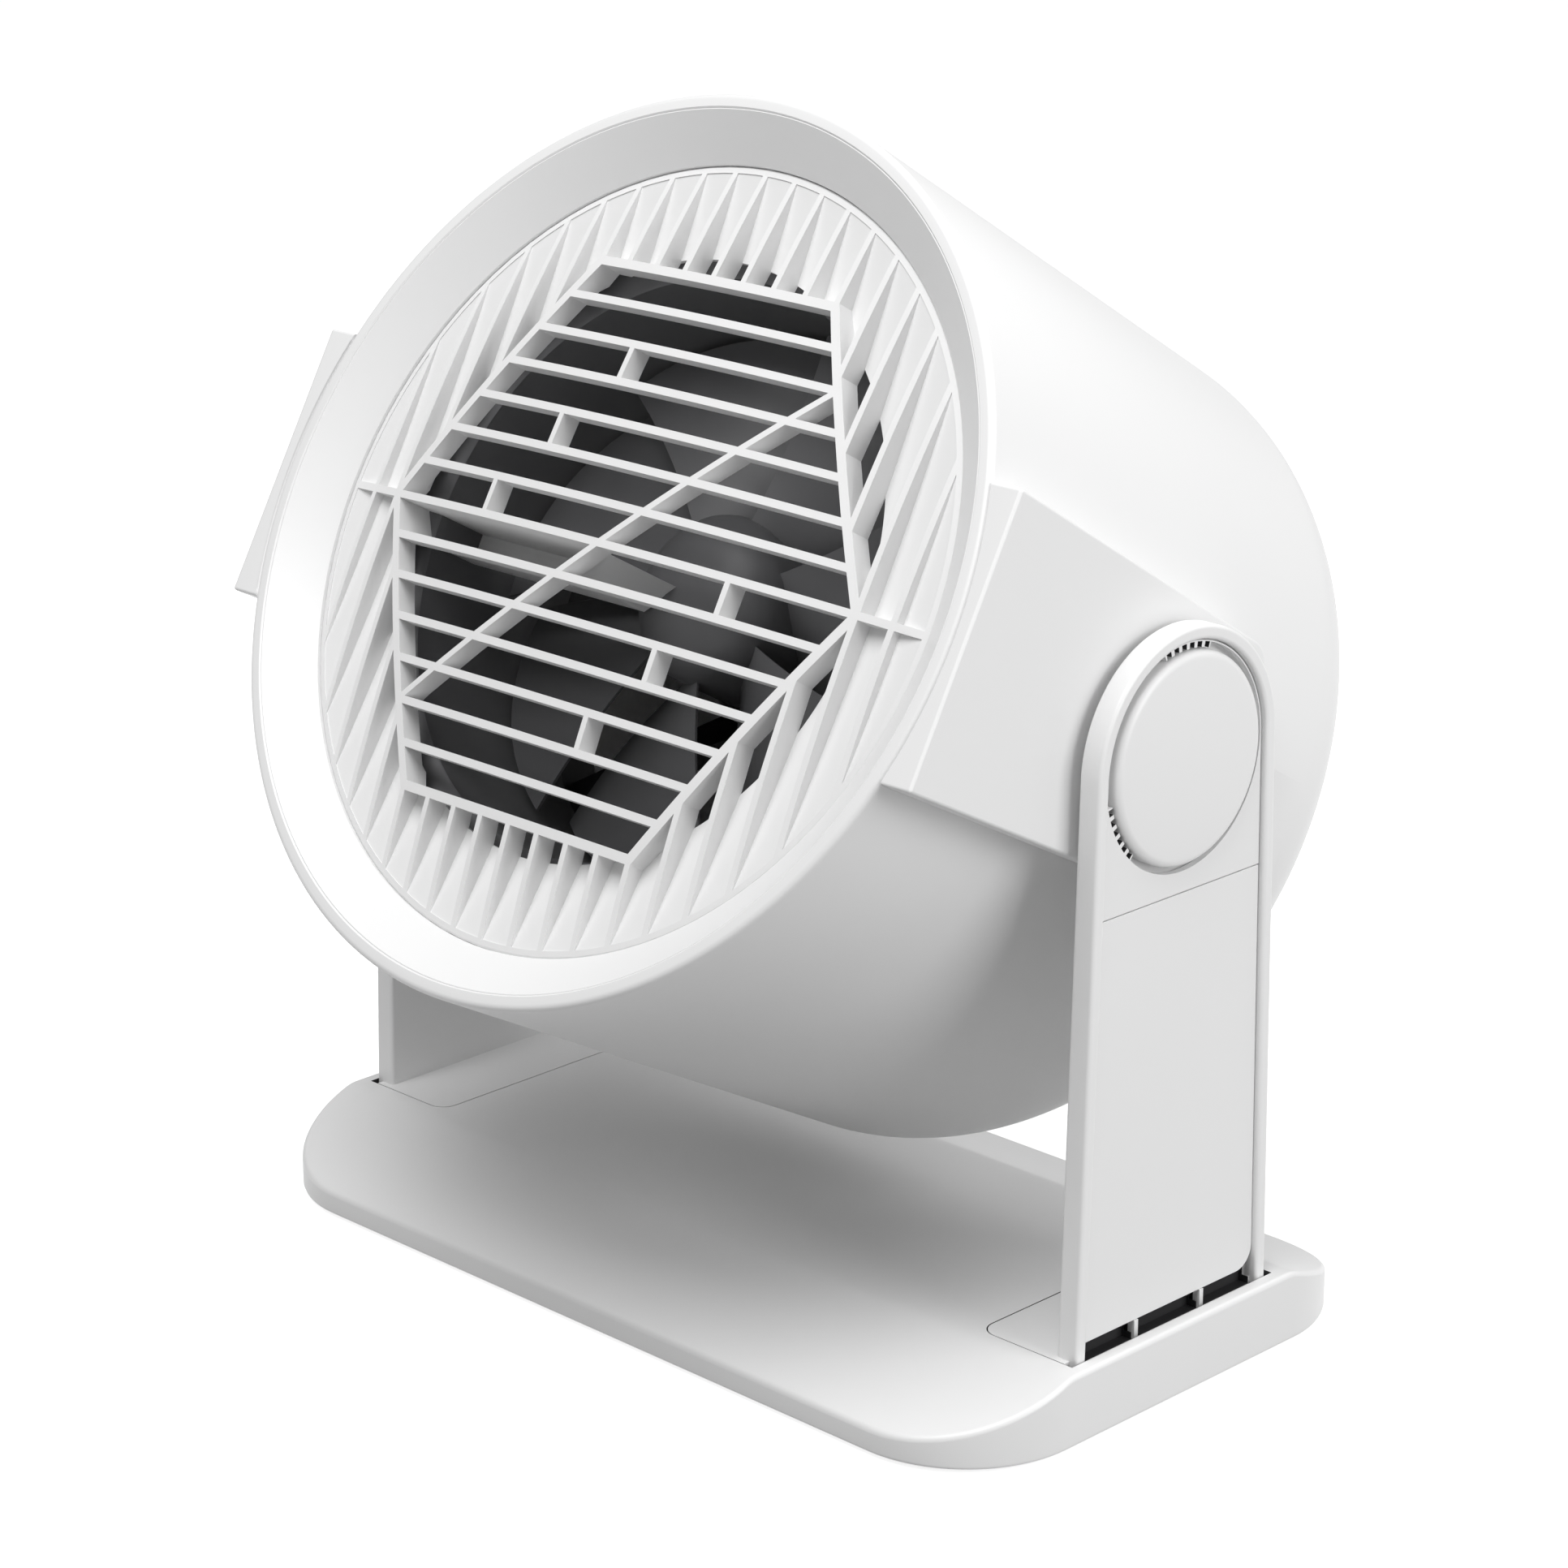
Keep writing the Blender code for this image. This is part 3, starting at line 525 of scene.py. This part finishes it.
def tooth_gaps(x0, x1):
    """The notches between the teeth, in each run."""
    pitch = 2 * RUN_HALF / TOOTH_GAPS
    notches = []
    for spot in TOOTH_RUNS:
        for k in range(TOOTH_GAPS):
            start = spot - RUN_HALF + pitch * (k + 0.2)
            outline = arc(0, PIVOT_HEIGHT, CAP_HOLE - TOOTH_HEIGHT - 0.3, start, start + pitch * 0.6, 3)
            outline += arc(0, PIVOT_HEIGHT, CAP_HOLE, start + pitch * 0.6, start, 3)
            notches.append(prism(outline, x0, x1, "X"))
    return joined(*notches)


def make_arm(turn, name):
    """Channel arm with its foot, the slot under its cover and the two ribs across it."""
    blank = prism(arm_outline(0, ARM_LOW), ARM_INNER, ARM_OUTER, "X")
    arm = build(f"arm_{name}_skin", turn(blank), "shell_white")
    hollow = prism(arm_outline(ARM_RIM, ARM_LOW - 5), ARM_INNER + ARM_WEB, ARM_OUTER + 5, "X")
    boolean(arm, turn(hollow))
    soften(arm, 0.9, 4)
    boolean(arm, turn(prism(foot_outline(FOOT_OUTER, 0), ARM_LOW, PLATEAU_TOP)), "UNION")
    # the slot, in three stretches between the ribs; its cut faces take the dark material as painted shade in the
    # deep slot
    slot_end = ARM_TOP_RADIUS - 0.3
    rib_near = RIB_SPACING - RIB_HALF
    rib_far = RIB_SPACING + RIB_HALF
    stretches = []
    for y0, y1 in ((-slot_end, -rib_far), (-rib_near, rib_near), (rib_far, slot_end)):
        stretches.append(box(ARM_INNER + 0.9, 110.0, y0, y1, ARM_LOW + 0.4, SLOT_TOP))
    boolean(arm, turn(joined(*stretches)), slot="inner_dark")
    # each rib is shallow behind the lower cover and deeper below it
    ribs = []
    for x, top in ((COVER_BACK, 24.0), (109.8, 19.9)):
        for y in (-RIB_SPACING, RIB_SPACING):
            ribs.append(box(ARM_INNER + 0.5, x, y - RIB_HALF, y + RIB_HALF, ARM_LOW + 0.5, top))
    boolean(arm, turn(joined(*ribs)), "UNION")
    bore = lathe([(0, 90), (STUB_BORE, 90), (STUB_BORE, 120), (0, 120)], 64, "X", (0, 0, PIVOT_HEIGHT))
    boolean(arm, turn(bore))
    # painted shade: the web is painted dark where the seam and the teeth let it show, standing for the shade in
    # those gaps
    reach = ARM_TOP_RADIUS - ARM_RIM
    seam = (LOWER_COVER_TOP + UPPER_COVER_BOTTOM) / 2
    shadow = [box(ARM_INNER + WEB_LEFT, COVER_BACK, -reach, reach, seam - 0.6, seam + 0.6)]
    for spot in TOOTH_RUNS:
        sector = arc(0, PIVOT_HEIGHT, CAP_HOLE - 2.4, spot - RUN_HALF, spot + RUN_HALF, 10)
        sector += arc(0, PIVOT_HEIGHT, CAP_HOLE + 0.1, spot + RUN_HALF, spot - RUN_HALF, 10)
        shadow.append(prism(sector, ARM_INNER + WEB_LEFT, COVER_BACK, "X"))
    boolean(arm, turn(joined(*shadow)), slot="inner_dark")
    flatten(arm)
    put(arm, "stand", "shell_white", f"arm_{name}")


def make_lower_cover(turn, name):
    """Long flat cover, slotted at its back to clear the ribs."""
    plate = prism(lower_cover_outline(), COVER_INNER, COVER_OUTER, "X")
    lower = build(f"arm_{name}_lower_cover_skin", turn(plate), "shell_white")
    slots = [box(100, 108.3, y - 0.9, y + 0.9, 10, 24.3) for y in (-RIB_SPACING, RIB_SPACING)]
    boolean(lower, turn(joined(*slots)))
    soften(lower, 0.25)
    put(lower, "stand", "shell_white", f"arm_{name}_lower_cover")


def make_upper_cover(turn, name):
    """Cover round the pivot cap, with two runs of fine teeth."""
    plate = prism(arm_outline(ARM_RIM + GAP, UPPER_COVER_BOTTOM), COVER_INNER, COVER_OUTER, "X")
    upper = build(f"arm_{name}_upper_cover_skin", turn(plate), "shell_white")
    boolean(upper, turn(cap_hole(90, 120)))
    # painted shade: the walls of the notches between the teeth take the dark material
    boolean(upper, turn(tooth_gaps(90, 120)), slot="inner_dark")
    flatten(upper)
    put(upper, "stand", "shell_white", f"arm_{name}_upper_cover")


def make_cap(side, name):
    """Slightly domed round cap with a rounded edge; it turns with the head."""
    face_radius = CAP_RADIUS - CAP_EDGE
    profile = [(0, CAP_FACE)]
    for k in range(1, 9):
        radius = face_radius * k / 8
        profile.append((radius, CAP_FACE - CAP_CROWN * (radius / CAP_RADIUS) ** 2))
    shoulder = profile[-1][1]
    for k in range(1, 9):
        a = math.radians(90 * k / 8)
        profile.append((face_radius + CAP_EDGE * math.sin(a), shoulder - CAP_EDGE * (1 - math.cos(a))))
    profile += [(CAP_RADIUS, 107.3), (21.1, 107.3), (21.1, 109.0), (0, 109.4)]
    solid = lathe([(r, side * x) for r, x in profile], 160, "X")
    cap = build(f"pivot_cap_{name}_skin", solid, "shell_white", HEAD)
    put(cap, "head", "shell_white", f"pivot_cap_{name}")


def as_is(solid):
    return solid


SIDES = ((1, "right", as_is), (-1, "left", mirrored))
for side, name, turn in SIDES:
    make_arm(turn, name)
    make_lower_cover(turn, name)
    make_upper_cover(turn, name)
    make_cap(side, name)

# ---- Drum, pods and cone ----

shell_profile = [(RIM_INNER, FRONT - 0.3), (RIM_INNER + 0.3, FRONT)]
shell_profile += arc(RIM_RADIUS - 1.4, FRONT - 1.4, 1.4, 90, 0, 8)
shell_profile += arc(REAR_RADIUS - REAR_FILLET, REAR + REAR_FILLET, REAR_FILLET, 0, -90, 24)
shell_profile += [(REAR_OPENING + 0.4, REAR), (REAR_OPENING, REAR + 0.4), (REAR_OPENING, REAR + WALL)]
shell_profile += arc(REAR_RADIUS - REAR_FILLET, REAR + REAR_FILLET, REAR_FILLET - WALL, -90, 0, 12)
shell_profile += [(RIM_INNER, 50.0)]
drum = build("drum_skin", spin(shell_profile, 256), "shell_white", HEAD)
stub_bore = lathe([(0, 80), (STUB_BORE, 80), (STUB_BORE, 120), (0, 120)], 64, "X")
boolean(drum, joined(stub_bore, mirrored(stub_bore)), place=HEAD)
put(drum, "head", "shell_white", "drum_shell")

pod_outline = [
    (-FRONT + 0.2, POD_HALF_FRONT + AXIS_RISE),
    (-FRONT + 0.2, -POD_HALF_FRONT + AXIS_RISE),
]
pod_corner_y = -POD_REAR - POD_CORNER
pod_corner_z = POD_HALF_REAR - POD_CORNER
pod_outline += arc(pod_corner_y, -pod_corner_z + AXIS_RISE, POD_CORNER, -90, 0, 12)
pod_outline += arc(pod_corner_y, pod_corner_z + AXIS_RISE, POD_CORNER, 0, 90, 12)
drum_clear = spin([
    (0, FRONT + 5), (RIM_RADIUS + 0.12, FRONT + 5), (RIM_RADIUS + 0.12, FRONT - 1.4),
    (REAR_RADIUS + 0.12, REAR + REAR_FILLET), (REAR_RADIUS + 0.12, REAR - 5), (0, REAR - 5),
], 256)
for _, name, turn in SIDES:
    pod = build(f"side_pod_{name}_skin", turn(prism(pod_outline, 90.0, POD_SIDE, "X")), "shell_white", HEAD)
    soften(pod, 0.7)
    boolean(pod, drum_clear, place=HEAD)
    boolean(pod, turn(stub_bore), place=HEAD)
    flatten(pod)
    put(pod, "head", "shell_white", f"side_pod_{name}")

cone_profile = [(RIM_INNER - 0.02, FRONT - 0.35), (RIM_INNER - 0.25, FRONT - 0.3)]
cone_profile += [(CONE_INNER + 0.5, FRONT - CONE_DEPTH + 0.25), (CONE_INNER, FRONT - CONE_DEPTH - 0.2)]
cone_profile += [(CONE_INNER, 58.9)]
cone_profile += [(89.0, 58.9), (94.1, 63.6), (94.1, 58.9), (RIM_INNER - 0.02, 58.9)]
cone = build("front_cone_skin", spin(cone_profile, 256), "shell_white", HEAD)
put(cone, "head", "shell_white", "front_cone")

# ---- Grille ----


def dome(radius):
    return FRONT - DOME_DROP * (radius / (8 * UNIT)) ** 2


def clip(polygon, a, b, c):
    """The part of a convex polygon where a*x + b*z <= c."""
    kept = []
    for k, (x, z) in enumerate(polygon):
        nx, nz = polygon[(k + 1) % len(polygon)]
        here = a * x + b * z - c
        there = a * nx + b * nz - c
        if here <= 0:
            kept.append((x, z))
        if here * there < 0:
            t = here / (here - there)
            kept.append((x + t * (nx - x), z + t * (nz - z)))
    return kept


# rows with a short upright, and how far it stands from the middle, in vane spacings
UPRIGHTS = {2: -1.5, 4: -2.9, 6: -4.3, 7: 4.3, 9: 2.9, 11: 1.5}
HEX_RADIUS = 8 * UNIT
APOTHEM = HEX_RADIUS * math.sqrt(3) / 2
PITCH = APOTHEM / 7
SQUARE = [(-200, -200), (200, -200), (200, 200), (-200, 200)]
HEX_SIDES = [(math.cos(math.radians(a)), math.sin(math.radians(a))) for a in (30, 90, 150, 210, 270, 330)]


def cell_area(polygon):
    total = 0.0
    for k, (x, z) in enumerate(polygon):
        nx, nz = polygon[(k + 1) % len(polygon)]
        total += x * nz - nx * z
    return abs(total) / 2


def window_cells():
    """Openings between the level slats, split by the diagonal and the uprights."""
    cells = []
    slope = 5 * PITCH
    run = HEX_RADIUS * (1 - 5 / 14)
    length = math.hypot(slope, run)
    for row in range(14):
        top_edge = (7 - row) * PITCH - SLAT / 2
        low_edge = (6 - row) * PITCH + SLAT / 2
        strip = clip(clip(SQUARE, 0, 1, top_edge), 0, -1, -low_edge)
        for a, b in HEX_SIDES:
            strip = clip(strip, a, b, APOTHEM - HEX_FRAME / 2)
        centre_line = (6.5 - row) * PITCH
        halves = [strip]
        if abs(centre_line) < slope:
            halves = [
                clip(strip, -slope / length, run / length, -VANE / 2),
                clip(strip, slope / length, -run / length, -VANE / 2),
            ]
        for half in halves:
            on_left = sum(x for x, _ in half) / len(half) < run / slope * centre_line
            upright = None
            if row in UPRIGHTS and (UPRIGHTS[row] < 0) == on_left:
                upright = UPRIGHTS[row] * UNIT
            if upright is None:
                cells.append(half)
            else:
                cells.append(clip(half, 1, 0, upright - VANE / 2))
                cells.append(clip(half, -1, 0, -upright - VANE / 2))
    return cells


def vane_cells():
    """Openings between the outer vanes, by side of the hexagon."""
    circle = arc(0, 0, VANE_END, 0, 358, 179)
    cells = []
    for side_a, side_b in HEX_SIDES:
        for k in range(-10, 10):
            column = clip(clip(circle, -1, 0, -k * UNIT - VANE / 2), 1, 0, (k + 1) * UNIT - VANE / 2)
            if not column:
                continue
            if abs(side_b) == 1:
                cell = clip(column, 0, -side_b, -APOTHEM - HEX_FRAME / 2)
                cell = clip(clip(cell, 1, 0, HEX_RADIUS / 2), -1, 0, HEX_RADIUS / 2)
            else:
                sign = math.copysign(1, side_b)
                out = math.copysign(1, side_a)
                cell = clip(column, -side_a, -side_b, -APOTHEM - HEX_FRAME / 2)
                cell = clip(cell, 0, -sign, -SLAT / 2)
                cell = clip(cell, -out, 0, -HEX_RADIUS / 2)
            cells.append(cell)
    return cells


grille_profile = [(0, dome(0))] + [(r, dome(r)) for r in (12, 24, 36, 48, 60, 72, 80, GRILLE_RADIUS - 0.4)]
grille_profile += [(GRILLE_RADIUS, dome(GRILLE_RADIUS) - 0.3), (GRILLE_RADIUS, 59.2)]
grille_profile += [(GRILLE_RADIUS - 2.0, 58.9), (FLOOR_INNER + 4.0, 58.0)]
grille_profile += [(r, dome(r) - BAR_DEPTH) for r in (57.0, 40.0, 20.0, 0)]
grille = build("grille_skin", spin(grille_profile, 96), "grille_white", HEAD)


def cut_cells(cells):
    """Cuts the cells through the grille, leaving out slivers."""
    tools = []
    for cell in cells:
        if len(cell) > 2 and cell_area(cell) > 1.0:
            tools.append(prism([(x, z + AXIS_RISE) for x, z in cell], -80.0, -40.0, "Y"))
    boolean(grille, joined(*tools), place=HEAD)


cut_cells(vane_cells())
# the floor between the vanes: flush at the outer ring, open at the middle of each hexagon side
floor_back = dome(FLOOR_INNER) - FLOOR_DROP
floor_front = dome(VANE_END) - 0.25
boolean(grille, spin([
    (GRILLE_RADIUS - 0.6, floor_front), (VANE_END, floor_front), (FLOOR_INNER, floor_back),
    (FLOOR_INNER, floor_back - FLOOR_THICKNESS), (GRILLE_RADIUS - 0.6, floor_front - FLOOR_THICKNESS),
], 192), "UNION", HEAD)
cut_cells(window_cells())
grille.data.set_sharp_from_angle(angle=math.radians(28))
put(grille, "head", "grille_white", "front_grille")

guide = build("flow_guide_skin", spin([
    (93.8, 58.3), (87.0, 58.3), (DUCT_RADIUS + 0.6, 54.0), (DUCT_RADIUS, 53.4), (DUCT_RADIUS, 8.0),
    (DUCT_RADIUS + 1.8, 8.0), (DUCT_RADIUS + 1.8, 52.8), (86.4, 56.6), (93.8, 56.6),
], 256), "fan_grey", HEAD)
put(guide, "head", "fan_grey", "flow_guide")

# ---- Fan ----


def blade(start):
    """One broad thin blade from the hub to the tip."""
    front = []
    back = []
    spans = 20
    chords = 24
    root = HUB_RADIUS - 1.2
    for i in range(spans + 1):
        radius = root + (BLADE_TIP - root) * i / spans
        sweep = BLADE_SWEEP - SWEEP_LOSS * i / spans
        lean = BLADE_LEAN * i / spans
        drop = BLADE_DROP - DROP_LOSS * i / spans
        for j in range(chords + 1):
            across = j / chords
            turn = math.radians(start + lean + sweep * (across - 0.5))
            s = BLADE_MIDDLE + drop * (across - 0.5) + BLADE_CAMBER * math.sin(math.pi * across)
            half = 0.25 + 0.6 * math.sin(math.pi * min(max(across, 0.02), 0.98)) ** 0.6
            for points, offset in ((front, half), (back, -half)):
                points.append((radius * math.cos(turn), -(s + offset), AXIS_RISE + radius * math.sin(turn)))
    n = len(front)
    row = chords + 1
    faces = []
    for i in range(spans):
        for j in range(chords):
            a = i * row + j
            faces.append((a, a + 1, a + row + 1, a + row))
            faces.append((n + a, n + a + row, n + a + row + 1, n + a + 1))
    rim = list(range(row)) + [i * row + chords for i in range(1, spans + 1)]
    rim += [spans * row + j for j in range(chords - 1, -1, -1)] + [i * row for i in range(spans - 1, 0, -1)]
    for k, a in enumerate(rim):
        b = rim[(k + 1) % len(rim)]
        faces.append((b, a, n + a, n + b))
    return face_out(front + back, faces)


hub_profile = [(0, 41.0), (5, 40.8), (9, 40.0), (13, 38.6), (16.2, 36.2), (18.2, 33.4), (HUB_RADIUS, 31.0)]
hub_profile += [(HUB_RADIUS, 13.0), (17.0, 13.0), (17.0, 30.0), (2.3, 30.0), (2.3, 36.0), (0, 36.0)]
impeller = build("impeller_skin", spin(hub_profile, 96), "fan_grey", HEAD)
boolean(impeller, joined(*[blade(360.0 * k / BLADES) for k in range(BLADES)]), "UNION", HEAD)
impeller.data.set_sharp_from_angle(angle=math.radians(35))
put(impeller, "fan", "fan_grey", "impeller")

# ---- Rear ----

rear = build("rear_grille_skin", spin([
    (8.3, REAR + WALL), (REAR_OPENING - GAP, REAR + WALL), (REAR_OPENING - GAP, REAR + 0.3),
    (REAR_OPENING - GAP - 0.3, REAR), (8.6, REAR), (8.3, REAR + 0.3),
], 192), "grille_white", HEAD)
sectors = []
reach = 180.0 / SPOKES
for ring_index in range(4):
    for slit in range(3):
        low = INTAKE_INNER + ring_index * INTAKE_PITCH + slit * SLIT_PITCH
        high = low + SLIT_WIDTH
        for k in range(SPOKES):
            spot = 2 * reach * k
            trim = math.degrees(SPOKE_HALF / low)
            outer_trim = math.degrees(SPOKE_HALF / high)
            shape = arc(0, AXIS_RISE, low, spot - reach + trim, spot + reach - trim, 12)
            shape += arc(0, AXIS_RISE, high, spot + reach - outer_trim, spot - reach + outer_trim, 12)
            sectors.append(prism(shape, -REAR - 8, -REAR + 8, "Y"))
boolean(rear, joined(*sectors), place=HEAD)
put(rear, "head", "grille_white", "rear_grille")

button_profile = [(0, REAR - 2.2), (3, REAR - 2.18), (5.5, REAR - 2.1), (6.9, REAR - 1.8), (7.7, REAR - 1.2)]
button_profile += [(8.0, REAR - 0.5), (8.0, REAR + 4.5), (0, REAR + 4.5)]
button = build("power_button_skin", spin(button_profile, 96), "shell_white", HEAD)
put(button, "button", "shell_white", "power_button")

# ---- Floor, light, camera ----

floor_mesh = bpy.data.meshes.new("floor")
FLOOR_HALF = 12.0
FLOOR_GAP = 0.0002
level = first_bounds[0].z - FLOOR_GAP
corners = [(x * FLOOR_HALF, y * FLOOR_HALF, level) for x, y in ((-1, -1), (1, -1), (1, 1), (-1, 1))]
floor_mesh.from_pydata(corners, [], [(0, 1, 2, 3)])
floor_obj = bpy.data.objects.new("floor", floor_mesh)
bpy.context.scene.collection.objects.link(floor_obj)
floor_look = bpy.data.materials.new("floor white")
floor_look.use_nodes = True
floor_shader = floor_look.node_tree.nodes["Principled BSDF"]
floor_shader.inputs["Base Color"].default_value = (0.75, 0.75, 0.75, 1)
floor_shader.inputs["Roughness"].default_value = 0.95
floor_shader.inputs["Specular IOR Level"].default_value = 0.0
floor_shader.inputs["Emission Color"].default_value = (1, 1, 1, 1)
floor_shader.inputs["Emission Strength"].default_value = 0.72
floor_mesh.materials.append(floor_look)
floor_obj.visible_diffuse = False

world = bpy.data.worlds.new("studio")
bpy.context.scene.world = world
world.use_nodes = True
sky = world.node_tree.nodes["Background"]
sky.inputs["Color"].default_value = (1, 1, 1, 1)
sky.inputs["Strength"].default_value = 0.28

AIM = Vector((0, 0, 0.12))


def towards(azimuth, elevation):
    """Direction from the fan to a light or camera; azimuth is degrees to the right of the front."""
    a = math.radians(azimuth)
    e = math.radians(elevation)
    return Vector((math.sin(a) * math.cos(e), -math.cos(a) * math.cos(e), math.sin(e)))


def softbox(name, azimuth, elevation, distance, width, height, power):
    """Rectangular light aimed at the fan; angles are in degrees."""
    back = towards(azimuth, elevation)
    light = bpy.data.lights.new(name, "AREA")
    light.shape = "RECTANGLE"
    light.size = width
    light.size_y = height
    light.energy = power
    obj = bpy.data.objects.new(name, light)
    bpy.context.scene.collection.objects.link(obj)
    obj.location = AIM + back * distance
    obj.rotation_mode = "QUATERNION"
    obj.rotation_quaternion = (-back).to_track_quat("-Z", "Y")


softbox("top", 10, 66, 1.4, 0.9, 0.9, 16.5)
softbox("side", 98, 22, 1.5, 0.9, 0.9, 11.0)
softbox("rear", 175, 38, 1.5, 1.0, 0.8, 3.5)

camera_data = bpy.data.cameras.new("camera")
camera = bpy.data.objects.new("camera", camera_data)
bpy.context.scene.collection.objects.link(camera)
CAMERA_AZIMUTH = 44.6
CAMERA_ELEVATION = 18.23
CAMERA_ACROSS = -3.06
CAMERA_ABOVE = 104.56
CAMERA_DISTANCE = 991.3
azimuth = math.radians(CAMERA_AZIMUTH)
back = towards(CAMERA_AZIMUTH, CAMERA_ELEVATION)
across = Vector((math.cos(azimuth), math.sin(azimuth), 0))
above = back.cross(across)
camera.location = (across * CAMERA_ACROSS + above * CAMERA_ABOVE + back * CAMERA_DISTANCE) * MM
camera.rotation_mode = "QUATERNION"
camera.rotation_quaternion = (-back).to_track_quat("-Z", "Y")
camera_data.lens = 99.24
camera_data.sensor_width = 36.0
camera_data.clip_start = 0.01
camera_data.clip_end = 100.0
bpy.context.scene.camera = camera
bpy.context.scene.view_settings.view_transform = "Standard"
